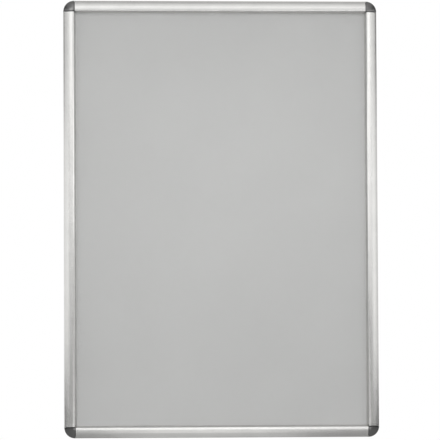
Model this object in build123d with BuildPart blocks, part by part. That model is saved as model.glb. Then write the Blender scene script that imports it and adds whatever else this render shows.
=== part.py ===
from build123d import *
from math import acos, atan2, cos, degrees, hypot, radians, sin
import os

# A wall frame for one A1 sheet whose four rails each snap open at the front.
# The frame stands upright: X runs along the top rail, Z up, and the wall is the plane Y = 0.
# The front faces -Y. The origin is the centre of the frame's outline on the wall.
#
# Every rail has the same section. It is drawn in a section plane whose first axis, u, runs
# inward from the frame's outer edge, and whose second axis, v, runs out from the wall.

# Sheet and outline
sheet_width = 594.0
sheet_height = 841.0
sheet_margin = 20.0  # from the sheet's edge out to the frame's outer edge
outer_width = sheet_width + 2 * sheet_margin
outer_height = sheet_height + 2 * sheet_margin
frame_depth = 15.0
rail_width = 25.0  # from the outer edge to the inner edge of the lid's lip
corner_size = 21.5  # side of the square that a plastic corner fills
overrun = 1.0  # how far a cutting shape runs past what it cuts

# Hinge: a round bead on the base rail, held in a curl on the lid's outer edge
bead_radius = 1.6
hinge_clearance = 0.06
lid_wall = 1.2
curl_inner = bead_radius + hinge_clearance
curl_outer = curl_inner + lid_wall
hinge_u = curl_outer
hinge_v = 5.2
hinge = (hinge_u, hinge_v)
curl_tail_angle = 198.0  # where the curl ends on the outer side, from the u axis
curl_head_angle = -18.0  # where the curl ends on the inner side
neck_angle = -42.5
neck_width = 1.0
neck_length = 3.9  # from the bead's middle to the top of its post
sweep_gap = 0.45  # room that the turning curl leaves to the outer wall

# Back panel and cover sheet
base_wall = 1.3
panel_thickness = 2.0
sheet_room = 0.1  # behind the cover, where the printed sheet goes
cover_thickness = 0.5
panel_clearance = 0.4
cover_back = base_wall + panel_thickness + sheet_room
cover_front = cover_back + cover_thickness

# Lid: crown, rounded crest and a steep lip down to the cover
crest_inset = 5.5  # from the lip's inner edge back to the crest
crest_slope = 2.0
crest_round = 2.0
toe_radius = 0.9
toe_gap = 0.08
lid_end_gap = 1.2
rib_u = 7.0
rib_wall = 1.1
rib_toe_v = 3.9
rib_toe_radius = 0.7

# Base rail
flange_width = 28.0
outer_wall_height = 3.3
post_wall = 1.2
channel_u = 12.0
channel_width = 5.9
channel_height = 3.0
channel_wall = 1.0
pocket_wall = 1.3  # the wall that keeps the panel and the cover in place
pocket_height = 6.5
hook_wall = 0.9
hook_height = 1.5
hook_inset = 2.8  # from the outer face of the pocket wall back to the hook
butt_gap = 0.1  # between a base rail's end and the corner bracket
shelf_v = base_wall + channel_height
shelf_top = shelf_v + channel_wall
pocket_u = channel_u + channel_width + pocket_wall
hook_u = pocket_u - hook_inset
panel_edge = pocket_u + panel_clearance

# Corner bracket and cap
bracket_height = 4.2
bracket_floor = 2.0
bracket_rim = 1.6
notch_clearance = 0.2  # round the corners of the panel and the cover
tongue_length = 24.0
tongue_clearance = 0.15
tongue_root = 1.0
tongue_lead = 1.0
wall_screw_inset = 13.5
wall_screw_radius = 2.5
wall_screw_head = 4.75
boss_wall = 1.3
cap_seam = 0.2
cap_wall = 1.8
cap_edge_round = 0.5
collar_inset = 1.2  # of the dark step beside each cap, drawn in from the lid's outline
collar_clearance = 0.2  # to the sawn end of the lid
collar_base_gap = 0.5  # over the tallest wall of the base rail
peg_radius = 1.5
peg_clearance = 0.06
peg_circle = 13.0  # radius about the corner's inner point
peg_spread = 32.0  # degrees each side of the diagonal
peg_depth = 2.6
cap_seat = bracket_height + cap_seam
collar_bottom = max(pocket_height, shelf_top + hook_height, hinge_v + bead_radius) + collar_base_gap
socket_radius = peg_radius + peg_clearance
socket_depth = peg_depth + cap_seam

# Screws that hold the tongues in the base rails
tongue_screw_reach = 12.0  # from the corner square along the rail
tongue_screw_radius = 1.3
tongue_screw_head = 2.4
tongue_screw_tip_gap = 0.4  # from the screw's tip to the top of the channel
tongue_screw_sink = 0.05
tongue_screw_clearance = 0.05
recess_width = 0.7
recess_length = 2.8
recess_depth = 0.7

# Leaf springs, bowed between the base rail's hook and the lid's rib
spring_length = 40.0
spring_thickness = 0.5
spring_clearance = 0.06
spring_bow = 3.5
spring_foot_v = 0.45  # height of the foot's middle over the shelf
long_side_springs = 3
short_side_springs = 2

# The crown is one arc that leaves the hinge curl and arrives at the crest at its slope.
front = Vector(0, -1, 0)
crest_u = rail_width - crest_inset
crest_normal = Vector(-sin(radians(crest_slope)), cos(radians(crest_slope)))
to_crest = Vector(crest_u - hinge_u, frame_depth - hinge_v)
crown_radius = (to_crest.dot(to_crest) - curl_outer**2) / (
    2 * (to_crest.dot(crest_normal) - curl_outer)
)
crown_centre = Vector(crest_u, frame_depth) - crest_normal * crown_radius
crown_start = degrees(atan2(hinge_v - crown_centre.Y, hinge_u - crown_centre.X))
crown_turn = 90 + crest_slope - crown_start

# The lip is straight from the crest's rounding to the toe that presses on the cover.
toe = (rail_width - toe_radius, cover_front + toe_gap + toe_radius)
crest_mid = crest_round - lid_wall / 2
crest_centre = Vector(crest_u, frame_depth) - crest_normal * crest_round
toe_reach = hypot(toe[0] - crest_centre.X, toe[1] - crest_centre.Y)
toe_bearing = degrees(atan2(toe[1] - crest_centre.Y, toe[0] - crest_centre.X))
crest_turn = toe_bearing + degrees(acos(crest_mid / toe_reach)) - 90 - crest_slope

# Each side of the frame: outer edge, direction inward, and how long the side is.
sides = {
    "top": (Vector(0, 0, outer_height / 2), Vector(0, 0, -1), outer_width),
    "right": (Vector(outer_width / 2, 0, 0), Vector(-1, 0, 0), outer_height),
    "bottom": (Vector(0, 0, -outer_height / 2), Vector(0, 0, 1), outer_width),
    "left": (Vector(-outer_width / 2, 0, 0), Vector(1, 0, 0), outer_height),
}

# Each corner: its outer point's signs along X and Z, and the first of its two inward directions.
corners = {
    "top_left": (-1, 1, Vector(0, 0, -1)),
    "top_right": (1, 1, Vector(-1, 0, 0)),
    "bottom_right": (1, -1, Vector(0, 0, 1)),
    "bottom_left": (-1, -1, Vector(1, 0, 0)),
}


def section_plane(side):
    """The plane of a rail's section, half way along the side: u inward, v out from the wall."""
    edge, inward, _ = sides[side]
    return Plane(origin=edge, x_dir=inward, z_dir=inward.cross(front))


def side_plan(side):
    """The wall plane of a side: the first axis inward, the second along the side."""
    edge, inward, _ = sides[side]
    return Plane(origin=edge, x_dir=inward, z_dir=front)


def corner_plan(corner):
    """The wall plane of a corner, from its outer point, with both axes inward."""
    sign_x, sign_z, first = corners[corner]
    origin = Vector(sign_x * outer_width / 2, 0, sign_z * outer_height / 2)
    return Plane(origin=origin, x_dir=first, z_dir=front)


def block(u_from, v_from, u_to, v_to):
    """Adds a rectangle to the open sketch, from one corner to the other."""
    with Locations(((u_from + u_to) / 2, (v_from + v_to) / 2)):
        Rectangle(u_to - u_from, v_to - v_from)


def around_hinge(angle, radius):
    """A section point at an angle and a distance from the hinge."""
    turn = radians(angle)
    return (hinge_u + radius * cos(turn), hinge_v + radius * sin(turn))


def lid_section(side):
    """Curl around the bead, skin over the crown and down the lip, and the rib for the springs."""
    crown_middle = crown_radius - lid_wall / 2
    rib_rise = crown_middle**2 - (rib_u - crown_centre.X) ** 2
    rib_root = crown_centre.Y + rib_rise**0.5
    leave = radians(crown_start)
    root = around_hinge(crown_start, curl_outer - lid_wall / 2)
    mouth_end = 360 + curl_head_angle
    mouth_middle = (curl_tail_angle + mouth_end) / 2
    with BuildSketch(section_plane(side)) as section:
        with Locations(hinge):
            Circle(curl_outer)
        with BuildLine():
            crown = JernArc(root, (sin(leave), -cos(leave)), crown_middle, crown_turn)
            crest = JernArc(crown @ 1, crown % 1, crest_mid, crest_turn)
            Line(crest @ 1, toe)
        trace(line_width=lid_wall)
        with Locations(hinge):
            Circle(curl_inner, mode=Mode.SUBTRACT)
        with BuildLine():
            Polyline(
                hinge,
                around_hinge(curl_tail_angle, 2 * curl_outer),
                around_hinge(mouth_middle, 2 * curl_outer),
                around_hinge(mouth_end, 2 * curl_outer),
                close=True,
            )
        make_face(mode=Mode.SUBTRACT)
        with Locations(toe):
            Circle(toe_radius)
        block(rib_u - rib_wall / 2, rib_toe_v, rib_u + rib_wall / 2, rib_root)
        with Locations((rib_u, rib_toe_v)):
            Circle(rib_toe_radius)
    return section.sketch


def base_section(side):
    """Back flange, outer wall, hinge bead on its post, tongue channel, spring hook and pocket wall."""
    post_u, post_top = around_hinge(neck_angle, neck_length)
    with BuildSketch(section_plane(side)) as section:
        block(0, 0, flange_width, base_wall)
        block(0, 0, base_wall, outer_wall_height)
        with Locations(hinge):
            Circle(curl_outer + sweep_gap, mode=Mode.SUBTRACT)
        block(post_u - post_wall / 2, 0, post_u + post_wall / 2, post_top)
        with Locations((post_u, post_top)):
            Circle(post_wall / 2)
        with Locations(hinge):
            Circle(bead_radius)
            Rectangle(
                neck_length,
                neck_width,
                rotation=neck_angle,
                align=(Align.MIN, Align.CENTER),
            )
        block(channel_u - channel_wall, 0, channel_u, shelf_top)
        block(channel_u - channel_wall, shelf_v, pocket_u, shelf_top)
        block(pocket_u - pocket_wall, 0, pocket_u, pocket_height)
        block(hook_u, shelf_v, hook_u + hook_wall, shelf_top + hook_height)
    return section.sketch


def rail_plan(side, gap, inner_edge):
    """A rail seen from the front: cut square at the corners, and on a mitre past their squares."""
    length = sides[side][2]
    square_end = length / 2 - corner_size - gap
    mitre_u = inner_edge + overrun
    mitre_end = length / 2 - mitre_u - gap
    with BuildSketch(side_plan(side)) as plan:
        with BuildLine():
            Polyline(
                (-overrun, -square_end),
                (corner_size, -square_end),
                (mitre_u, -mitre_end),
                (mitre_u, mitre_end),
                (corner_size, square_end),
                (-overrun, square_end),
                close=True,
            )
        make_face()
    return plan.sketch


def tongue_screw_places(side):
    """Middle of each tongue screw on the side's plan, inward and along the side."""
    along = sides[side][2] / 2 - corner_size - tongue_screw_reach
    inward = channel_u + channel_width / 2
    return [(inward, -along), (inward, along)]


def make_base_rail(side):
    """Aluminium extrusion against the wall, drilled from the back for the tongue screws."""
    with BuildPart() as rail:
        extrude(base_section(side), amount=sides[side][2] / 2, both=True)
        ends = rail_plan(side, butt_gap, flange_width)
        extrude(ends, amount=frame_depth + overrun, both=True, mode=Mode.INTERSECT)
        bore = tongue_screw_radius + tongue_screw_clearance
        sink = tongue_screw_head + tongue_screw_clearance + tongue_screw_sink
        with BuildSketch(side_plan(side)):
            with Locations(*tongue_screw_places(side)):
                Circle(bore)
        extrude(amount=base_wall, mode=Mode.SUBTRACT)
        with Locations(side_plan(side)):
            with Locations(*tongue_screw_places(side)):
                Cone(
                    sink,
                    bore,
                    sink - bore,
                    align=(Align.CENTER, Align.CENTER, Align.MIN),
                    mode=Mode.SUBTRACT,
                )
    return rail


def make_lid(side):
    """Front extrusion of one side, hooked on the base rail's bead."""
    with BuildPart() as lid:
        extrude(lid_section(side), amount=sides[side][2] / 2, both=True)
        ends = rail_plan(side, lid_end_gap, rail_width)
        extrude(ends, amount=frame_depth + overrun, both=True, mode=Mode.INTERSECT)
    return lid


def make_spring(side, place):
    """One bowed strip of spring steel, centred at a place along the side."""
    room = spring_clearance + spring_thickness / 2
    foot = Vector(hook_u - room, shelf_top + spring_foot_v)
    tip = Vector(rib_u + rib_toe_radius + room, rib_toe_v)
    chord = tip - foot
    outward = Vector(chord.Y, -chord.X).normalized()
    crown = (foot + tip) / 2 + outward * spring_bow
    with BuildPart() as spring:
        with BuildSketch(section_plane(side).offset(place)):
            with BuildLine():
                ThreePointArc(foot, crown, tip)
            trace(line_width=spring_thickness)
        extrude(amount=spring_length / 2, both=True)
    return spring


def make_tongue_screws(side):
    """The two countersunk screws that fix the corner tongues in one base rail."""
    with BuildPart() as screws:
        with BuildSketch(side_plan(side)):
            with Locations(*tongue_screw_places(side)):
                Circle(tongue_screw_radius)
        extrude(amount=shelf_v - tongue_screw_tip_gap)
        with Locations(side_plan(side).offset(tongue_screw_sink)):
            with Locations(*tongue_screw_places(side)):
                Cone(
                    tongue_screw_head,
                    tongue_screw_radius,
                    tongue_screw_head - tongue_screw_radius,
                    align=(Align.CENTER, Align.CENTER, Align.MIN),
                )
        with BuildSketch(side_plan(side)):
            with Locations(*tongue_screw_places(side)):
                Circle(tongue_screw_head + overrun)
        extrude(amount=tongue_screw_sink, mode=Mode.SUBTRACT)
        with BuildSketch(side_plan(side)):
            with Locations(*tongue_screw_places(side)):
                Rectangle(recess_length, recess_width)
                Rectangle(recess_width, recess_length)
        extrude(amount=tongue_screw_sink + recess_depth, mode=Mode.SUBTRACT)
    return screws


def quarter_disc(inset):
    """Fills the open sketch with the corner's rounded outline, drawn in by the inset all round."""
    with Locations((corner_size, corner_size)):
        Circle(corner_size - inset)
    Rectangle(
        corner_size - inset,
        corner_size - inset,
        align=(Align.MIN, Align.MIN),
        mode=Mode.INTERSECT,
    )


def peg_places():
    """Middles of the cap's two pegs on the corner's plan, mirrored about its diagonal."""
    places = []
    for turn in (-peg_spread, peg_spread):
        angle = radians(225 + turn)
        places.append(
            (
                corner_size + peg_circle * cos(angle),
                corner_size + peg_circle * sin(angle),
            )
        )
    return places


def make_bracket(corner):
    """Moulded corner body with a tongue into each base rail and the hidden wall-screw hole."""
    plan = corner_plan(corner)
    middle = channel_u + channel_width / 2
    side_from = channel_u + tongue_clearance
    side_to = channel_u + channel_width - tongue_clearance
    root = corner_size - tongue_root
    tip = corner_size + tongue_length
    with BuildPart() as bracket:
        with BuildSketch(plan):
            quarter_disc(0)
        extrude(amount=bracket_height)
        with BuildSketch(plan.offset(bracket_floor)):
            quarter_disc(bracket_rim)
            with Locations((wall_screw_inset, wall_screw_inset)):
                Circle(wall_screw_head + boss_wall, mode=Mode.SUBTRACT)
            with Locations(*peg_places()):
                Circle(socket_radius + boss_wall, mode=Mode.SUBTRACT)
        extrude(amount=bracket_height, mode=Mode.SUBTRACT)
        with BuildSketch(plan.offset(base_wall + tongue_clearance)) as first:
            block(side_from, root, side_to, tip)
            chamfer(first.vertices().group_by(Axis.Y)[-1], tongue_lead)
        extrude(amount=channel_height - 2 * tongue_clearance)
        with BuildSketch(plan.offset(base_wall + tongue_clearance)) as second:
            block(root, side_from, tip, side_to)
            chamfer(second.vertices().group_by(Axis.X)[-1], tongue_lead)
        extrude(amount=channel_height - 2 * tongue_clearance)
        reach = corner_size + tongue_screw_reach
        with BuildSketch(plan):
            with Locations((middle, reach), (reach, middle)):
                Circle(tongue_screw_radius + tongue_screw_clearance)
        extrude(amount=shelf_v, mode=Mode.SUBTRACT)
        edge = panel_edge - notch_clearance
        with BuildSketch(plan.offset(base_wall)):
            block(edge, edge, corner_size + overrun, corner_size + overrun)
        extrude(amount=bracket_height, mode=Mode.SUBTRACT)
        with Locations(plan.offset(bracket_height)):
            with Locations((wall_screw_inset, wall_screw_inset)):
                CounterSinkHole(wall_screw_radius, wall_screw_head, bracket_height)
            with Locations(*peg_places()):
                Hole(socket_radius, socket_depth)
    return bracket


def cap_ends(plan):
    """The planes of the cap's two flat ends, each as a section plane that looks out of the cap."""
    first = plan.from_local_coords((0, corner_size, 0))
    second = plan.from_local_coords((corner_size, 0, 0))
    return [
        Plane(origin=first, x_dir=plan.x_dir, z_dir=-plan.y_dir),
        Plane(origin=second, x_dir=plan.y_dir, z_dir=plan.x_dir),
    ]


def cap_profile(plan, inset, bottom):
    """The lid's outer outline carried to the corner's inner point, drawn in by the inset."""
    with BuildSketch(cap_ends(plan)[0]) as profile:
        with BuildLine():
            start = Line((inset, bottom), (inset, hinge_v))
            curl = CenterArc(hinge, curl_outer - inset, 180, crown_start - 180)
            crown = JernArc(curl @ 1, curl % 1, crown_radius - inset, crown_turn)
            Polyline(
                crown @ 1,
                (corner_size, frame_depth - inset),
                (corner_size, bottom),
                start @ 0,
            )
        make_face()
    return profile.sketch


def collar_section(face):
    """The step that shows as a dark line between a cap and a lid: under the crown, over the base."""
    with BuildSketch(face) as section:
        block(0, collar_bottom, corner_size - collar_inset, frame_depth)
        with Locations(crown_centre):
            Circle(crown_radius - collar_inset, mode=Mode.INTERSECT)
    return section.sketch


def make_cap(corner):
    """Domed cover of a corner, hollow behind, with two pegs that plug into the bracket."""
    plan = corner_plan(corner)
    pivot = Axis(plan.from_local_coords((corner_size, corner_size, 0)), front)
    with BuildPart() as hollow:
        inside = cap_profile(plan, cap_wall, cap_seat - overrun)
        revolve(inside, axis=pivot, revolution_arc=90)
        with BuildSketch(plan):
            quarter_disc(cap_wall)
        extrude(amount=frame_depth, mode=Mode.INTERSECT)
        with BuildSketch(plan):
            with Locations(*peg_places()):
                Circle(peg_radius)
        extrude(amount=frame_depth, mode=Mode.SUBTRACT)
    with BuildPart() as cap:
        revolve(cap_profile(plan, 0, cap_seat), axis=pivot, revolution_arc=90)
        seat = cap.faces().filter_by(Plane.XZ).sort_by(Axis.Y)[-1]
        ends = cap.faces().filter_by(GeomType.PLANE).filter_by(Plane.XZ, reverse=True)
        fillet(ends.edges() - seat.edges(), cap_edge_round)
        add(hollow.part, mode=Mode.SUBTRACT)
        with BuildSketch(plan.offset(cap_seat - cap_seam - peg_depth)):
            with Locations(*peg_places()):
                Circle(peg_radius)
        extrude(amount=cap_seam + peg_depth + cap_wall)
        collar = lid_end_gap - collar_clearance
        first, second = cap_ends(plan)
        extrude(collar_section(first), amount=-collar)
        extrude(collar_section(second), amount=collar)
    return cap


def make_sheet(back, thickness):
    """A flat sheet that fills the pocket between the base rails, at a distance from the wall."""
    with BuildPart() as sheet:
        with BuildSketch(Plane(origin=front * back, x_dir=(1, 0, 0), z_dir=front)):
            Rectangle(outer_width - 2 * panel_edge, outer_height - 2 * panel_edge)
        extrude(amount=thickness)
    return sheet


def spring_places(side):
    """Places of the leaf springs along a side, at even steps from one corner to the other."""
    upright = side in ("left", "right")
    count = long_side_springs if upright else short_side_springs
    step = (sides[side][2] - 2 * corner_size) / count
    return [step * (n + 0.5 - count / 2) for n in range(count)]


def save(part, name):
    """Labels a finished piece and writes it under its own name."""
    part.label = name
    export_step(part, f"parts/{name}.step")


os.makedirs("parts", exist_ok=True)

for side in sides:
    save(make_base_rail(side).part, f"{side}_base_rail")
    save(make_lid(side).part, f"{side}_lid")
    save(make_tongue_screws(side).part, f"{side}_tongue_screws")
    for number, place in enumerate(spring_places(side), start=1):
        save(make_spring(side, place).part, f"{side}_spring_{number}")

for corner in corners:
    save(make_bracket(corner).part, f"{corner}_bracket")
    save(make_cap(corner).part, f"{corner}_cap")

save(make_sheet(base_wall, panel_thickness).part, "back_panel")
save(make_sheet(cover_back, cover_thickness).part, "cover_sheet")
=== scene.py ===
# %% [markdown]
# # A snap frame for a large printed sheet
#
# Four aluminium rails hold a clear cover and a grey back panel. Each rail has two halves: a base that
# is screwed to the wall, and a lid that snaps shut over the sheet's edge. Plastic caps close the
# rounded corners. The CAD model already has every piece in its place. This lesson loads it, swaps in
# finer surfaces where a close look needs them, and gives each piece a finish that is worked out from
# formulas, so that no picture file is needed.

import math

import bpy
import numpy as np
from mathutils import Matrix, Vector
from mathutils.geometry import tessellate_polygon


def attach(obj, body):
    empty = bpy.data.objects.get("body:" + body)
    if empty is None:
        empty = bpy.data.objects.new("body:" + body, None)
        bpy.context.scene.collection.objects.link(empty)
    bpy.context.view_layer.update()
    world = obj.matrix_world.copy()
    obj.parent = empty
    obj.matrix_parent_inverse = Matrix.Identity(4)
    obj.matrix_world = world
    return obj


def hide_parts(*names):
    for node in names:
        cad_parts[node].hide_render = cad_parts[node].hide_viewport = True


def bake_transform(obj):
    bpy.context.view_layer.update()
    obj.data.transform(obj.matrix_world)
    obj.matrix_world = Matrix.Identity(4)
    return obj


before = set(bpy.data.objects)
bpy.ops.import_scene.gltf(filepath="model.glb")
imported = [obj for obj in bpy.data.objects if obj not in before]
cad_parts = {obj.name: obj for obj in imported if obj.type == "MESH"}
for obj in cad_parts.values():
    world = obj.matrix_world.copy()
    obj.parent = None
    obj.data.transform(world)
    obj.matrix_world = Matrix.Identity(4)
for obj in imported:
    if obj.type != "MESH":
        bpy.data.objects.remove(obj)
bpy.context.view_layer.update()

# %% [markdown]
# ## The sizes of the section
#
# All four rails share one section. It is drawn on two axes: u runs inward from the frame's outer
# edge, and v runs out from the wall. These are the sizes of the CAD model in millimetres, because
# thin walls are easier to read that way. They become metres when a piece is made.

# %% Section sizes
MM = 0.001
outer_width, outer_height = 634.0, 881.0
frame_depth = 15.0
corner_size = 21.5

hinge = np.array((2.86, 5.2))
curl_inner, curl_outer = 1.66, 2.86
curl_tail, curl_head = 198.0, -18.0
lid_wall, lid_end_gap = 1.2, 1.2

crest = np.array((19.5, frame_depth))
crest_slope, crest_round = 2.0, 2.0
toe, toe_radius = np.array((24.1, 4.88)), 0.9
rib_end, rib_radius, rib_half = np.array((7.0, 3.9)), 0.7, 0.55
print("outline", outer_width, "by", outer_height, "by", frame_depth, "mm")

# %% [markdown]
# ## Small helpers for outlines
#
# A closed outline is a list of arcs and points, one after the other. An arc needs a centre, a radius
# and two angles. A few degrees between its points are fine enough for reflections to look smooth.
# The large arcs get the closest points, and the small ones that are hidden get the widest.


# %% Outline helpers
bend_step, crown_step, crest_step = 6, 1.5, 4
hidden_crown_step, hidden_crest_step, rib_step = 2, 12, 10


def arc(centre, radius, first, last, step):
    """Points on a circle: centre + radius * (cos a, sin a), with a from first to last in degrees."""
    angle = np.radians(np.linspace(first, last, max(2, int(abs(last - first) / step) + 1)))
    return np.array(centre) + radius * np.stack((np.cos(angle), np.sin(angle)), 1)


def bearing(vector):
    """The angle of a vector from the first axis, in degrees."""
    return math.degrees(math.atan2(vector[1], vector[0]))


def unit(angle):
    """The vector of length 1 at an angle in degrees."""
    return np.array((math.cos(math.radians(angle)), math.sin(math.radians(angle))))


def at_u(first, last, u):
    """The point at which the straight line between two points reaches a value of u."""
    return first + (last - first) * (u - first[0]) / (last[0] - first[0])


print("a quarter circle has", len(arc((0, 0), 1, 0, 90, bend_step)), "points")

# %% [markdown]
# ## The lid's outline
#
# The lid is one aluminium extrusion, so one outline describes it along its whole length. It curls
# round the hinge bead, rises in one large arc to the crest, turns over and drops to the cover. A
# short rib inside works the springs. The large arc leaves the curl without a kink: the place of its
# centre follows from the two circles touching. The lip is a straight wall whose middle line leaves
# the crest's rounding without a kink too and ends at the toe.

# %% Lid arcs
crest_normal = unit(90 + crest_slope)
reach = crest - hinge
crown_radius = (reach @ reach - curl_outer**2) / (2 * (reach @ crest_normal - curl_outer))
crown = crest - crest_normal * crown_radius
crown_inner = crown_radius - lid_wall
crown_start, crown_end = bearing(hinge - crown), 90 + crest_slope

crest_centre = crest - crest_normal * crest_round
crest_inner = crest_round - lid_wall
toe_reach = toe - crest_centre
lean = math.acos((crest_round + crest_inner) / 2 / math.hypot(*toe_reach))
lip_normal = bearing(toe_reach) + math.degrees(lean)
print("crown radius", round(crown_radius, 2), "mm, lip normal at", round(lip_normal, 1), "degrees")


# %% Lid outline
def over_u(u):
    """The angle on the crown's inner arc that stands over u."""
    return math.degrees(math.acos((u - crown[0]) / crown_inner))


def lid_outline():
    """The lid in section: outer arcs from the curl's tail to the toe, then back along the inside."""
    apart = math.hypot(*(crown - hinge))
    cosine = (curl_outer**2 + apart**2 - crown_inner**2) / (2 * curl_outer * apart)
    branch = bearing(crown - hinge) + math.degrees(math.acos(cosine))
    branch_end = bearing(hinge + curl_outer * unit(branch) - crown)
    toe_kink = math.degrees(math.acos(lid_wall / 2 / toe_radius))
    rib_kink = math.degrees(math.acos(rib_half / rib_radius))
    rib_inner, rib_outer = over_u(rib_end[0] + rib_half), over_u(rib_end[0] - rib_half)
    toe_arc = arc(toe, toe_radius, lip_normal + toe_kink, lip_normal - 180 - toe_kink, bend_step)
    lip_outer = crest_centre + crest_round * unit(lip_normal)
    lip_inner = crest_centre + crest_inner * unit(lip_normal)
    return np.concatenate([
        arc(hinge, curl_outer, curl_tail, crown_start, bend_step),
        arc(crown, crown_radius, crown_start, crown_end, crown_step)[1:],
        arc(crest_centre, crest_round, crown_end, lip_normal, crest_step)[1:],
        at_u(lip_outer, toe_arc[0], corner_size)[None],
        toe_arc,
        at_u(lip_inner, toe_arc[-1], corner_size)[None],
        arc(crest_centre, crest_inner, lip_normal, crown_end, hidden_crest_step),
        arc(crown, crown_inner, crown_end, rib_inner, hidden_crown_step)[1:],
        arc(rib_end, rib_radius, rib_kink, -180 - rib_kink, rib_step),
        arc(crown, crown_inner, rib_outer, branch_end, hidden_crown_step),
        arc(hinge, curl_outer, branch, curl_head, bend_step)[1:],
        arc(hinge, curl_inner, curl_head, curl_tail, bend_step),
    ])


lid_loop = lid_outline()
print("lid outline", len(lid_loop), "points, from", lid_loop.min(0), "to", lid_loop.max(0), "mm")

# %% [markdown]
# ## Sides of the frame and a mesh maker
#
# Every side has an outer edge, a direction inward and a direction along. A section point (u, v) goes
# to edge + u * inward + v * front, and then moves along the side. The mesh maker takes finished
# arrays, so Python never loops over points. It also turns all faces outward: the signed volume of a
# closed mesh is positive only when they already are.

# %% Sides
front = np.array((0.0, -1.0, 0.0))
sides = {
    "top": (np.array((0, 0, outer_height / 2)), np.array((0, 0, -1.0)), outer_width),
    "right": (np.array((outer_width / 2, 0, 0)), np.array((-1.0, 0, 0)), outer_height),
    "bottom": (np.array((0, 0, -outer_height / 2)), np.array((0, 0, 1.0)), outer_width),
    "left": (np.array((-outer_width / 2, 0, 0)), np.array((1.0, 0, 0)), outer_height),
}


def on_side(side, u, v, along):
    """edge + u * inward + v * front + along * lengthwise, from millimetres to metres."""
    edge, inward, _ = sides[side]
    lengthwise = np.cross(front, inward)
    u, v, along = (a[..., None] for a in np.broadcast_arrays(u, v, along))
    return (edge + inward * u + front * v + lengthwise * along) * MM


print("the crest of the top rail is at", on_side("top", *crest, 0.0).round(4), "m")


# %% Mesh maker
smooth_angle = 32


def grid_quads(rows, columns, ring=False):
    """Quads between neighbours of a grid that is numbered row by row; a ring joins last to first."""
    index = np.arange(rows * columns).reshape(rows, columns)
    here, beside = (index, np.roll(index, -1, 1)) if ring else (index[:, :-1], index[:, 1:])
    return np.stack((here[:-1], beside[:-1], beside[1:], here[1:]), -1).reshape(-1, 4)


def signed_volume(points, quads, triangles):
    """Six times the volume inside closed faces: the sum of a . (b x c) over all triangles."""
    fans = np.concatenate([quads[:, [0, 1, 2]], quads[:, [0, 2, 3]], triangles])
    a, b, c = points[fans[:, 0]], points[fans[:, 1]], points[fans[:, 2]]
    return np.einsum("ij,ij->", a, np.cross(b, c))


def make_piece(name, points, quads, triangles, second_slot=False, uv=None):
    """A mesh object from arrays. The triangles take the second material where there is one."""
    points = points.reshape(-1, 3)
    if signed_volume(points, quads, triangles) < 0:
        quads, triangles = quads[:, ::-1], triangles[:, ::-1]
    mesh = bpy.data.meshes.new(name)
    mesh.from_pydata(points.tolist(), [], quads.tolist() + triangles.tolist())
    ends = np.repeat((0, int(second_slot)), (len(quads), len(triangles)))
    mesh.polygons.foreach_set("material_index", ends.astype(np.int32))
    if uv is not None:
        corners = np.zeros(len(mesh.loops), np.int32)
        mesh.loops.foreach_get("vertex_index", corners)
        mesh.uv_layers.new(name="along").data.foreach_set("uv", uv.reshape(-1, 2)[corners].ravel())
    mesh.polygons.foreach_set("use_smooth", np.ones(len(mesh.polygons), bool))
    mesh.set_sharp_from_angle(angle=math.radians(smooth_angle))
    piece = bpy.data.objects.new(name, mesh)
    bpy.context.scene.collection.objects.link(piece)
    return piece


print("a grid of 3 by 3 points has", len(grid_quads(3, 3)), "quads")

# %% [markdown]
# ## The four lids
#
# The lid's outline is carried along each side. Its ends are sawn square where the corner cap begins,
# and on a mitre past it, so that the lips of two lids meet on the diagonal. One formula gives both:
# a point at u ends at half the length minus the larger of u and the corner's size. A UV map in
# metres, along and around, lets the drawing lines of the extrusion follow the metal.


# %% Lids
lid_stations = 9


def make_lid(side):
    """The outline times stations from end to end: along = t * (length / 2 - max(u, corner) - gap)."""
    u, v = lid_loop.T
    end = sides[side][2] / 2 - np.maximum(u, corner_size) - lid_end_gap
    stations = np.linspace(-1, 1, lid_stations)[:, None]
    count, last = len(lid_loop), (lid_stations - 1) * len(lid_loop)
    fill = np.array(tessellate_polygon([[Vector((*p, 0)) for p in lid_loop]]))
    walk = np.concatenate(([0], np.cumsum(np.hypot(*np.diff(lid_loop, axis=0).T))))
    lid = make_piece(
        f"{side}_lid_rail",
        on_side(side, u, v, end * stations),
        grid_quads(lid_stations, count, ring=True),
        np.concatenate([fill, fill[:, ::-1] + last]),
        second_slot=True,
        uv=np.stack(np.broadcast_arrays(end * stations, walk), -1) * MM,
    )
    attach(lid, f"{side}_lid_body")
    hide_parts(f"{side}_lid")
    return lid


lids = {side: make_lid(side) for side in sides}
print("lids", {side: len(lid.data.polygons) for side, lid in lids.items()}, "faces")

# %% [markdown]
# ## Leaf springs
#
# A bowed strip of spring steel stands between the base rail's hook and the lid's rib. It pushes the
# lid shut, and past a dead point it pushes it open. The strip is an arc through its two ends and the
# top of its bow. It is 40 mm long, measured along the rail, and its corners are rounded. One end
# stays on the back of the frame and the other goes with the lid.

# %% Spring shape
spring_length, spring_thickness, spring_bow, spring_corner = 40.0, 0.5, 3.5, 2.0
spring_foot, spring_tip = np.array((16.09, 5.75)), np.array((8.01, 3.9))
spring_counts = {"top": 2, "right": 3, "bottom": 2, "left": 3}
round_share, round_rows, plain_rows, spring_columns = 0.16, 7, 17, 9


def spring_arc():
    """Centre, radius, first angle and turn of the arc: radius = (half chord^2 + bow^2) / (2 * bow)."""
    chord = spring_tip - spring_foot
    half = math.hypot(*chord) / 2
    radius = (half**2 + spring_bow**2) / (2 * spring_bow)
    outward = np.array((chord[1], -chord[0])) / (2 * half)
    centre = (spring_foot + spring_tip) / 2 + outward * (spring_bow - radius)
    first, last = bearing(spring_foot - centre), bearing(spring_tip - centre)
    return centre, radius, first, (last - first + 180) % 360 - 180


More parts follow.
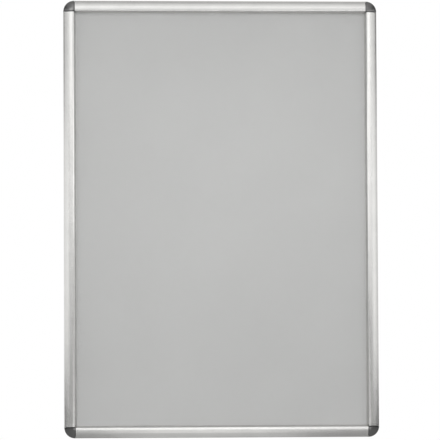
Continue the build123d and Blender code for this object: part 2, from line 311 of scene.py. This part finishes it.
def arc_shares():
    """Places along the arc from 0 to 1, which are closer together at the rounded corners."""
    start = np.linspace(0, round_share, round_rows)[:-1]
    middle = np.linspace(round_share, 1 - round_share, plain_rows)
    end = np.linspace(1 - round_share, 1, round_rows)[1:]
    return np.concatenate([start, middle, end])


print("a spring turns", round(abs(spring_arc()[3])), "degrees in", len(arc_shares()), "rows")


# %% Springs
def make_spring(side, number, place):
    """Two grids, half a thickness each side of the arc, whose length is rounded in at their ends."""
    centre, radius, first, sweep = spring_arc()
    share = arc_shares()
    angle = np.radians(first + sweep * share)[:, None]
    to_end = np.minimum(share, 1 - share) * math.radians(abs(sweep)) * radius
    inset = spring_corner - np.sqrt(spring_corner**2 - np.maximum(spring_corner - to_end, 0) ** 2)
    along = place + np.linspace(-1, 1, spring_columns) * (spring_length / 2 - inset[:, None])
    layers = [
        on_side(side, centre[0] + r * np.cos(angle), centre[1] + r * np.sin(angle), along)
        for r in (radius - spring_thickness / 2, radius + spring_thickness / 2)
    ]
    rows, columns = along.shape
    index = np.arange(rows * columns).reshape(rows, columns)
    rim = np.concatenate([index[0, :-1], index[:-1, -1], index[-1, :0:-1], index[:0:-1, 0]])
    after = np.roll(rim, -1)
    sheet, shift = grid_quads(rows, columns), rows * columns
    walls = np.stack([rim, rim + shift, after + shift, after], -1)
    quads = np.concatenate([sheet, sheet[:, ::-1] + shift, walls])
    name = f"{side}_spring_{number}"
    spring = make_piece(f"{name}_leaf", np.stack(layers), quads, np.zeros((0, 3), int))
    ends = [on_side(side, *point, place) for point in (spring_foot, spring_tip)]
    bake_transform(spring)
    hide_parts(name)
    return spring


springs = []
for side, count in spring_counts.items():
    step = (sides[side][2] - 2 * corner_size) / count
    springs += [make_spring(side, n + 1, step * (n + 0.5 - count / 2)) for n in range(count)]
print(len(springs), "springs")

# %% [markdown]
# ## Corner screws
#
# Two small countersunk screws at the back of each base rail hold the tongues of the corner brackets.
# A screw is a turned shape, so it is a profile spun round its axis. The cross recess is a dent in
# the head's flat face: its depth is a function of the place on the face, which keeps the piece one
# closed surface.

# %% Screw shape
screw_u, screw_from_end = 14.95, 33.5
screw_radius, screw_head, screw_sink, screw_tip = 1.3, 2.4, 0.05, 3.9
pole_radius, rim_height, point_length, point_radius = 0.06, 0.12, 0.5, 0.35
recess_half_width, recess_half_length, recess_depth = 0.35, 1.4, 0.7
recess_side_slope, recess_end_slope = 0.12, 0.25
face_rings, screw_turns = 26, 96


def screw_surface(side, place):
    """Rings (radius, height) spun round the axis; the head's face is sunk by the cross recess."""
    face_radius = np.linspace(pole_radius, screw_head, face_rings)
    face = np.stack([face_radius, np.full(face_rings, screw_sink)], 1)
    cone_end = screw_sink + screw_head - screw_radius
    body = np.array([
        (screw_head, screw_sink + rim_height),
        (screw_radius, cone_end),
        (screw_radius, screw_tip - point_length),
        (point_radius, screw_tip),
    ])
    rings = np.concatenate([face, body])
    turn = np.linspace(0, 2 * np.pi, screw_turns, endpoint=False)
    a, b = (rings[:, :1] * f(turn) for f in (np.cos, np.sin))
    reach_in = [
        np.clip((recess_half_width - np.abs(p)) / recess_side_slope + 0.5, 0, 1)
        * np.clip((recess_half_length - np.abs(q)) / recess_end_slope + 0.5, 0, 1)
        for p, q in ((a, b), (b, a))
    ]
    on_face = (np.arange(len(rings)) < face_rings)[:, None]
    v = rings[:, 1:] + np.maximum(*reach_in) * recess_depth * on_face
    return on_side(side, screw_u + a, v, place + b)


print("a screw has", screw_surface("top", 0.0).shape[:2], "rings and turns")


# %% Screws
def make_screws(side):
    """Both screws of one base rail, with a small fan of triangles on each pole."""
    place = sides[side][2] / 2 - screw_from_end
    shells = [screw_surface(side, p) for p in (-place, place)]
    rings, turns = shells[0].shape[:2]
    pole = np.stack([np.zeros(turns - 2, int), np.arange(1, turns - 1), np.arange(2, turns)], -1)
    quads, fans = grid_quads(rings, turns, ring=True), [pole, pole[:, ::-1] + (rings - 1) * turns]
    shift = rings * turns
    screws = make_piece(
        f"{side}_corner_screws",
        np.stack(shells),
        np.concatenate([quads, quads + shift]),
        np.concatenate(fans + [fan + shift for fan in fans]),
    )
    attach(screws, "frame_back")
    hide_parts(f"{side}_tongue_screws")
    return screws


screws = [make_screws(side) for side in sides]
print(len(screws), "pairs of screws")

# %% [markdown]
# ## A short way to write materials
#
# A finish is a graph of nodes. Two small classes keep it readable. `Wire` is one node's output and
# turns sums on it into Math nodes. `Finish` is one material: its `node` method sets a node's
# settings first and its sockets after that, and `shade` fills in the surface shader.


# %% Material helpers
class Wire:
    """A node's output. Sums on it, such as 1 - wire or wire / 2, add Math nodes."""

    def __init__(self, finish, socket):
        self.finish, self.socket = finish, socket

    def __add__(self, other):
        return self.finish.maths("ADD", self, other)

    def __rsub__(self, other):
        return self.finish.maths("SUBTRACT", other, self)

    def __mul__(self, other):
        return self.finish.maths("MULTIPLY", self, other)

    def __truediv__(self, other):
        return self.finish.maths("DIVIDE", self, other)

    __radd__, __rmul__ = __add__, __mul__


class Finish:
    """One node material, built a node at a time."""

    def __init__(self, name):
        self.material = bpy.data.materials.new(name)
        self.material.use_nodes = True
        self.tree = self.material.node_tree
        self.shader = self.tree.nodes["Principled BSDF"]

    def node(self, kind, settings=None, sockets=None, output=0):
        """Adds a node: its settings, then the values or wires of its sockets; gives one output."""
        made = self.tree.nodes.new(f"ShaderNode{kind}")
        for key, value in (settings or {}).items():
            if key == "stops":
                self.set_stops(made.color_ramp, value)
            else:
                setattr(made, key, value)
        self.fill(made, sockets or {})
        return Wire(self, made.outputs[output])

    def maths(self, operation, first, second):
        """One Math node on two wires or numbers."""
        return self.node("Math", {"operation": operation}, {0: first, 1: second})

    def set_stops(self, ramp, stops):
        """Puts a ramp's stops at (place, grey value) pairs."""
        while len(ramp.elements) < len(stops):
            ramp.elements.new(1.0)
        for element, (place, grey) in zip(ramp.elements, stops):
            element.position, element.color = place, (grey, grey, grey, 1)

    def fill(self, node, sockets):
        """Links a wire to a socket, or writes a value in it."""
        for key, value in sockets.items():
            if isinstance(value, Wire):
                self.tree.links.new(value.socket, node.inputs[key])
            else:
                node.inputs[key].default_value = value

    def shade(self, **sockets):
        """Fills the surface shader: base_color=... goes to the socket Base Color."""
        names = {s.name.lower().replace(" ", "_"): s.name for s in self.shader.inputs}
        self.fill(self.shader, {names[key]: value for key, value in sockets.items()})
        return self.material

    def place(self, stretch, source="Object"):
        """Coordinates of the piece, in metres, times a stretch for each axis."""
        where = self.node("TexCoord", output=source)
        return self.node("Mapping", {}, {"Vector": where, "Scale": stretch})

    def noise(self, where, scale, detail=2.0, roughness=0.5):
        """A cloudy pattern between 0 and 1, about 1 / scale wide."""
        sockets = {"Vector": where, "Scale": scale, "Detail": detail, "Roughness": roughness}
        return self.node("TexNoise", {}, sockets)

    def ramp(self, value, *stops):
        """A value run through grey stops."""
        return self.node("ValToRGB", {"stops": stops}, {"Fac": value})

    def blend_colours(self, share, first, second):
        """Mixes two colours by a share."""
        return self.mix({"Factor": share, "A": (*first, 1.0), "B": (*second, 1.0)})

    def mix(self, sockets):
        """A colour Mix node. Its colour sockets are inputs 6 and 7 and output 2."""
        made = self.tree.nodes.new("ShaderNodeMix")
        made.data_type = "RGBA"
        picked = {"Factor": 0, "A": 6, "B": 7}
        self.fill(made, {picked[key]: value for key, value in sockets.items()})
        return Wire(self, made.outputs[2])

    def inside(self, limits):
        """1 where the piece lies nearer to the middle than a limit on x or one on z, in metres."""
        where = self.node("TexCoord", output="Object")
        nearer = [
            self.maths("LESS_THAN", self.maths("ABSOLUTE", self.part(where, axis), 0.0), limit)
            for axis, limit in zip("XZ", limits)
        ]
        return self.maths("MAXIMUM", *nearer)

    def part(self, vector, axis):
        """One of a vector's three parts: X, Y or Z."""
        return self.node("SeparateXYZ", {}, {"Vector": vector}, output=axis)

    def bump(self, height, distance):
        """A normal from a height that is distance metres tall."""
        return self.node("Bump", {}, {"Height": height, "Distance": distance, "Strength": 1.0})

    def rays(self, *kinds):
        """1 for rays of these kinds, such as those from the camera, else 0."""
        found = [self.node("LightPath", output=f"Is {kind} Ray") for kind in kinds]
        return sum(found[1:], found[0])


evenly = (1, 1, 1)
print("material helpers ready")

# %% [markdown]
# ## Anodised aluminium
#
# The extrusions are drawn through a die, which leaves faint lines along them. Then they are etched
# and anodised, which makes the metal satin. Noise that is stretched hundreds of times along the rail
# gives the lines. A second, cloudy noise varies the roughness, as handling and wiping do. The lids
# use their own UV map, so the lines follow the metal around the curve.


# %% Anodised finish
def anodised(name, source, stretch, colour, roughness):
    """Satin metal with drawing lines along one axis and cloudy wear."""
    finish = Finish(name)
    lines = finish.noise(finish.place(stretch, source), scale=1.0, detail=3.0, roughness=0.6)
    clouds = finish.noise(finish.place(evenly), scale=38.0, detail=4.0)
    grain = finish.noise(finish.place(evenly), scale=2600.0, detail=1.0)
    tone = finish.ramp(lines * 0.5 + clouds * 0.5, (0.35, 0), (0.65, 1))
    darker = tuple(0.95 * c for c in colour)
    lighter = tuple(1.03 * c for c in colour)
    return finish.shade(
        base_color=finish.blend_colours(tone, darker, lighter),
        metallic=1.0,
        roughness=roughness - 0.05 + lines * 0.04 + clouds * 0.06,
        normal=finish.bump(lines * 0.97 + grain * 0.03, distance=0.0001),
    )


lid_colour, base_colour = (0.69, 0.685, 0.672), (0.61, 0.605, 0.594)
lid_metal = anodised("anodised_lid", "UV", (4, 2600, 1), lid_colour, 0.24)
base_metal_x = anodised(
    "anodised_base_lengthwise_x", "Object", (4, 1400, 1400), base_colour, 0.36
)
base_metal_z = anodised(
    "anodised_base_lengthwise_z", "Object", (1400, 1400, 4), base_colour, 0.36
)
print("anodised finishes ready")

# %% [markdown]
# ## Sawn ends
#
# The saw leaves fine parallel marks on the ends of a lid, and fresh metal is brighter and rougher
# than the anodised skin. The marks run across the wall, so the noise is stretched along the depth.


# %% Sawn finish
def sawn():
    """Bright rough metal with saw marks."""
    finish = Finish("sawn_aluminium")
    marks = finish.noise(finish.place((2200, 60, 2200)), scale=1.0, detail=2.0)
    return finish.shade(
        base_color=finish.blend_colours(marks, (0.72, 0.725, 0.73), (0.9, 0.9, 0.9)),
        metallic=1.0,
        roughness=0.38 + marks * 0.2,
        normal=finish.bump(marks, distance=0.00002),
    )


sawn_metal = sawn()
print("sawn finish ready")

# %% [markdown]
# ## Moulded plastic
#
# Caps and brackets are injection moulded. The mould's spark-eroded face leaves a fine pebbled grain,
# about a third of a millimetre wide, that softens the gloss. Handling polishes the grain away in
# places, so the roughness follows a slower cloud. The caps are tinted with metal flakes, which
# gives them a sheen that plain plastic lacks, so they are mostly metallic. The brackets are plain.
#
# A cap ends in a low step beside each lid. The step is painted near black and loses its metallic
# sheen.
# This is painted shade for the shadow that falls in the groove between cap and lid. The steps are
# found
# by their place: they lie nearer to the frame's middle than the cap's own face. Beside the lids of the
# long sides, the painted shade reaches a little way on to the cap.


# %% Moulded finish
# Near black for the cap's joint steps: painted shade for the groove's shadow, reaching a little on to
# the cap.
painted_shade_colour, painted_shade_overlap = (0.008, 0.008, 0.009, 1.0), 0.7


def moulded(name, dark, light, roughness, metallic, grain_height, joint=None):
    """Plastic with a spark-eroded grain, polished patches and, where it has joints, painted shade in
    them.
    """
    finish = Finish(name)
    where = finish.place(evenly)
    grain = finish.noise(where, scale=2900.0, detail=2.0)
    clouds = finish.noise(where, scale=160.0, detail=3.0)
    specks = finish.noise(where, scale=900.0, detail=4.0, roughness=0.7)
    dust = finish.ramp(specks, (0.62, 0), (0.78, 1))
    colour = finish.blend_colours(clouds * 0.7 + dust * 0.3, dark, light)
    if joint is not None:
        # The joint steps are painted near black and lose their metal: painted shade, not dirt.
        painted_shade_share = finish.inside(joint)
        colour = finish.mix({"Factor": painted_shade_share, "A": colour, "B": painted_shade_colour})
        metallic = metallic - metallic * painted_shade_share
    return finish.shade(
        base_color=colour,
        roughness=roughness + clouds * 0.12 + dust * 0.1,
        metallic=metallic,
        normal=finish.bump(grain, grain_height),
    )


cap_joint = (
    (outer_width / 2 - corner_size) * MM,
    (outer_height / 2 - corner_size + painted_shade_overlap) * MM,
)
cap_plastic = moulded(
    "cap_plastic", (0.177, 0.176, 0.175), (0.235, 0.234, 0.232), 0.16, 0.88, 0.00001, cap_joint
)
bracket_plastic = moulded(
    "bracket_plastic", (0.03, 0.03, 0.032), (0.05, 0.05, 0.052), 0.42, 0.0, 0.000012
)
print("moulded finishes ready, joints at", [round(limit, 4) for limit in cap_joint], "m")

# %% [markdown]
# ## Back panel and cover
#
# The back panel is a light grey sheet of plastic with an extruder's fine matt grain. The cover in
# front of it is a clear sheet with an anti-glare face. A clear sheet hides little, so it is mostly
# see-through and adds a soft, pale sheen. Its see-through share is the alpha of its shader.


# %% Panel and cover finishes
def panel():
    """Matt grey sheet: fine grain, faint cloudiness."""
    finish = Finish("panel_plastic")
    where = finish.place(evenly)
    grain = finish.noise(where, scale=1800.0, detail=2.0)
    clouds = finish.noise(where, scale=4.0, detail=2.0)
    tone = finish.ramp(clouds, (0.3, 0), (0.7, 1)) * 0.8 + grain * 0.2
    return finish.shade(
        base_color=finish.blend_colours(tone, (0.470, 0.468, 0.458), (0.502, 0.500, 0.490)),
        roughness=0.5 + grain * 0.12,
        specular_ior_level=0.4,
        normal=finish.bump(grain, distance=0.000008),
    )


def cover():
    """Clear anti-glare sheet: thin pale sheen over what lies behind it."""
    finish = Finish("clear_cover")
    where = finish.place(evenly)
    grain = finish.noise(where, scale=2400.0, detail=2.0)
    smears = finish.noise(where, scale=16.0, detail=4.0)
    return finish.shade(
        base_color=finish.blend_colours(smears, (0.86, 0.87, 0.87), (0.92, 0.93, 0.93)),
        roughness=0.24 + smears * 0.08 + grain * 0.05,
        ior=1.49,
        alpha=0.13 + smears * 0.03,
        normal=finish.bump(grain, distance=0.000006),
    )


panel_plastic, clear_cover = panel(), cover()
print("panel and cover finishes ready")

# %% [markdown]
# ## Spring steel and zinc
#
# The springs are tempered strip, dark, a little blue and mottled by the heat. The screws are zinc
# plated, which is pale and has a finer mottle. The same graph gives both.


# %% Steel finishes
def steel(name, dark, light, roughness, scale):
    """Metal whose colour, roughness and height follow one noise."""
    finish = Finish(name)
    mottle = finish.noise(finish.place((scale, scale, scale)), scale=1.0, detail=4.0)
    return finish.shade(
        base_color=finish.blend_colours(mottle, dark, light),
        metallic=1.0,
        roughness=roughness + mottle * 0.15,
        normal=finish.bump(mottle, distance=0.000006),
    )


spring_steel = steel("spring_steel", (0.26, 0.275, 0.31), (0.44, 0.45, 0.48), 0.24, scale=300)
screw_zinc = steel("screw_zinc", (0.6, 0.62, 0.63), (0.78, 0.79, 0.8), 0.25, scale=1500)
print("steel finishes ready")

# %% [markdown]
# ## Put the finishes on
#
# The new surfaces take their finish here. So do the CAD model's own pieces, which keep their meshes.
# A lid has two finishes, because its sawn ends are the second of its slots.


# %% Put the finishes on
def put_on(piece, *materials):
    """Replaces a piece's material slots."""
    piece.data.materials.clear()
    for material in materials:
        piece.data.materials.append(material)


for lid in lids.values():
    put_on(lid, lid_metal, sawn_metal)
for piece in springs:
    put_on(piece, spring_steel)
for piece in screws:
    put_on(piece, screw_zinc)
node_finishes = {
    "top_base_rail": base_metal_x,
    "bottom_base_rail": base_metal_x,
    "left_base_rail": base_metal_z,
    "right_base_rail": base_metal_z,
    "back_panel": panel_plastic,
    "cover_sheet": clear_cover,
}
for corner in ("top_left", "top_right", "bottom_right", "bottom_left"):
    node_finishes[f"{corner}_cap"] = cap_plastic
    node_finishes[f"{corner}_bracket"] = bracket_plastic
for name, material in node_finishes.items():
    put_on(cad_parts[name], material)
print(len(node_finishes), "CAD nodes have a finish")

# %% [markdown]
# ## Studio
#
# The frame hangs over a pale, matt floor in a white surround. For the camera, the floor fades to
# plain white with distance and keeps the frame's shadow close by. Metal and glass see the white of
# the floor too, but only where it lies behind the frame. In front they see the lamps, which draw the
# curve of the rails.

# %% Floor
floor_z, floor_half = -1.1, 6.0
floor_corners = np.array([(-1, -1), (1, -1), (1, 1), (-1, 1)]) * floor_half
floor_points = np.column_stack((floor_corners, np.full(4, floor_z)))
floor_mesh = bpy.data.meshes.new("studio_floor")
floor_mesh.from_pydata(floor_points.tolist(), [], [(0, 1, 2, 3)])
floor = bpy.data.objects.new("studio_floor", floor_mesh)
bpy.context.scene.collection.objects.link(floor)
print("floor", 2 * floor_half, "m wide at", floor_z, "m")


# %% Floor finish
def floor_finish():
    """Pale matt floor that keeps a soft shadow near the frame and is white farther away."""
    finish = Finish("studio_floor")
    clouds = finish.noise(finish.place(evenly), scale=3.0, detail=3.0)
    finish.shade(
        base_color=finish.blend_colours(clouds, (0.46, 0.46, 0.46), (0.49, 0.49, 0.49)),
        roughness=0.9,
        specular_ior_level=0.1,
    )
    where = finish.place((1, 1, 0))
    distance = finish.node("VectorMath", {"operation": "LENGTH"}, {0: where}, output="Value")
    far = finish.ramp(distance / floor_half, (0.1, 0.7), (0.4, 1))
    behind = finish.ramp(finish.part(where, "Y") / floor_half, (0.05, 0), (0.25, 1))
    white = finish.rays("Camera") * far + finish.rays("Glossy", "Transmission") * behind
    glow = finish.node("Emission", {}, {"Color": (1, 1, 1, 1), "Strength": 1.0})
    lit = Wire(finish, finish.shader.outputs[0])
    shown = finish.node("MixShader", {}, {0: white, 1: lit, 2: glow})
    finish.fill(finish.tree.nodes["Material Output"], {"Surface": shown})
    return finish.material


put_on(floor, floor_finish())
print("floor finish ready")

# %% [markdown]
# ## Surround
#
# The surround is white for the camera, and also for metal and glass where they look behind the
# frame. As a light it is a soft gradient, the product of two ramps on the direction. The first goes
# by height: dark up to the horizon, bright above it and a little weaker overhead. The second goes
# sideways: bright in front and behind, and dark at the sides, where the lamps take over.


# %% World
world = bpy.data.worlds.new("studio")
bpy.context.scene.world = world
world.use_nodes = True


class Surround(Finish):
    """The world's graph, built with the same calls as a material."""

    def __init__(self, tree):
        self.tree = tree


surround = Surround(world.node_tree)
direction = surround.node("TexCoord", output="Generated")
height = surround.part(direction, "Z") * 0.5 + 0.5
by_height = surround.ramp(height, (0.5, 0.06), (0.57, 0.83), (0.7, 0.83), (0.8, 0.62))
sideways = surround.maths("ABSOLUTE", surround.part(direction, "X"), 0.0)
by_side = surround.ramp(sideways, (0.6, 1), (0.85, 0.15))
backdrop = surround.ramp(surround.part(direction, "Y") * 0.5 + 0.5, (0.7, 0), (0.88, 1))
white = surround.rays("Camera") + surround.rays("Glossy", "Transmission") * backdrop
strength = white + (1 - white) * (by_height * by_side)
background = world.node_tree.nodes["Background"]
surround.fill(background, {"Color": (1, 1, 1, 1), "Strength": strength})
print("surround ready")

# %% [markdown]
# ## Lamps
#
# A rail is a curved mirror with a satin finish, so each strip of it shows another part of the room.
# The light therefore comes from soft rectangles that fill parts of three walls, one in front of the
# frame and one at each side. The level of each rectangle sets the tone of one stretch of a rail. Four
# more lamps stand alone, one overhead and three close to the frame, for the panel and the undersides.
# A lamp's power is four times its area times its level, which makes its face as bright as a plain
# surface that glows at that level.


# %% Lamps
front_wall, left_wall, right_wall = -1.9, -1.7, 1.7


def soft_lamp(name, place, aim, width, height, level):
    """A rectangular lamp that the camera doesn't see: power = 4 * area * level."""
    lamp = bpy.data.lights.new(name, "AREA")
    lamp.shape, lamp.size, lamp.size_y = "RECTANGLE", width, height
    lamp.energy = 4 * width * height * level
    holder = bpy.data.objects.new(name, lamp)
    holder.location = place
    holder.rotation_euler = (Vector(aim) - Vector(place)).to_track_quat("-Z", "Y").to_euler()
    holder.visible_camera = False
    bpy.context.scene.collection.objects.link(holder)
    return holder


def front_lamp(name, left, right, low, high, level):
    """A lamp that fills a rectangle of the wall in front of the frame, and faces it."""
    x, z = (left + right) / 2, (low + high) / 2
    return soft_lamp(name, (x, front_wall, z), (x, 0, z), right - left, high - low, level)


def side_lamp(name, x, near, far, low, high, level):
    """A lamp that fills a rectangle of a side wall, and faces inward."""
    y, z = (near + far) / 2, (low + high) / 2
    return soft_lamp(name, (x, y, z), (0, y, z), far - near, high - low, level)


lamps = [
    front_lamp("front_top", -1.0, 1.0, 1.5, 2.3, 0.58),
    front_lamp("front_upper", -0.5, 0.5, 0.95, 1.5, 0.22),
    front_lamp("front_low", -0.5, 0.5, -0.9, -0.35, 1.31),
    front_lamp("front_right_floor", 0.45, 0.95, -1.08, -0.55, 0.95),
    front_lamp("front_left_upper", -1.6, -0.5, 0.85, 1.5, 1.0),
    front_lamp("front_left_high", -1.6, -0.5, 0.4, 0.85, 0.8),
    front_lamp("front_left_middle", -1.6, -0.5, -0.1, 0.4, 0.53),
    front_lamp("front_left_low", -1.6, -0.5, -0.6, -0.1, 0.15),
    front_lamp("front_right_high", 0.5, 1.6, 0.4, 0.85, 0.99),
    front_lamp("front_right_middle", 0.5, 1.6, -0.1, 0.4, 0.67),
    front_lamp("front_right_low", 0.5, 1.6, -0.6, -0.1, 0.11),
    side_lamp("left_near", left_wall, -1.7, -0.4, -0.35, 0.35, 0.83),
    side_lamp("left_far", left_wall, -0.4, 1.2, -0.35, 0.35, 0.75),
    side_lamp("left_high", left_wall, -1.7, -0.2, 0.35, 1.0, 0.54),
    side_lamp("right_near", right_wall, -1.7, -0.4, -0.35, 0.35, 0.89),
    side_lamp("right_far", right_wall, -0.4, 1.2, -0.35, 0.35, 0.6),
    side_lamp("right_high", right_wall, -1.7, -0.2, 0.35, 1.0, 0.59),
    soft_lamp("roof_lamp", (0, -1.3, 2.3), (0, 0, 0.44), 2.0, 0.8, 0.3),
    soft_lamp("panel_lamp", (0, -0.62, 0.14), (0, 0, 0.14), 0.64, 0.36, 0.88),
    soft_lamp("low_lamp", (0, -0.7, -0.8), (0, 0, -0.43), 0.45, 0.4, 0.33),
    soft_lamp("under_lamp", (0, -0.35, -0.85), (0, -0.3, 0), 0.4, 0.7, 0.2),
]
print(len(lamps), "lamps, of", round(sum(lamp.data.energy for lamp in lamps), 1), "watts in all")

# %% [markdown]
# ## Camera
#
# The photograph was taken almost straight on, from a little to the left of the middle and slightly
# below it. Its sides hardly run together, so the camera stands seven metres away and has a long lens.
# The place, the turn and the focal length come from fitting the frame's outline, and the camera needs
# no lens shift.

# %% Camera
eye = Vector((-0.469, -7.0, -0.375))
yaw, pitch, roll = (math.radians(a) for a in (3.816, 3.040, -0.274))
lens_mm, film_mm = 284.95, 36.0

forward = Vector((math.sin(yaw) * math.cos(pitch), math.cos(yaw) * math.cos(pitch), math.sin(pitch)))
level_right = Vector((math.cos(yaw), -math.sin(yaw), 0))
level_up = level_right.cross(forward)
right = level_right * math.cos(roll) + level_up * math.sin(roll)
up = level_up * math.cos(roll) - level_right * math.sin(roll)

camera_data = bpy.data.cameras.new("camera")
camera_data.lens, camera_data.sensor_width = lens_mm, film_mm
camera = bpy.data.objects.new("camera", camera_data)
turn = Matrix((right, up, -forward)).transposed()
camera.matrix_world = Matrix.Translation(eye) @ turn.to_4x4()
bpy.context.scene.collection.objects.link(camera)
bpy.context.scene.camera = camera
bpy.context.scene.view_settings.view_transform = "Standard"
print("camera at", tuple(round(c, 3) for c in eye), "lens", lens_mm, "mm")
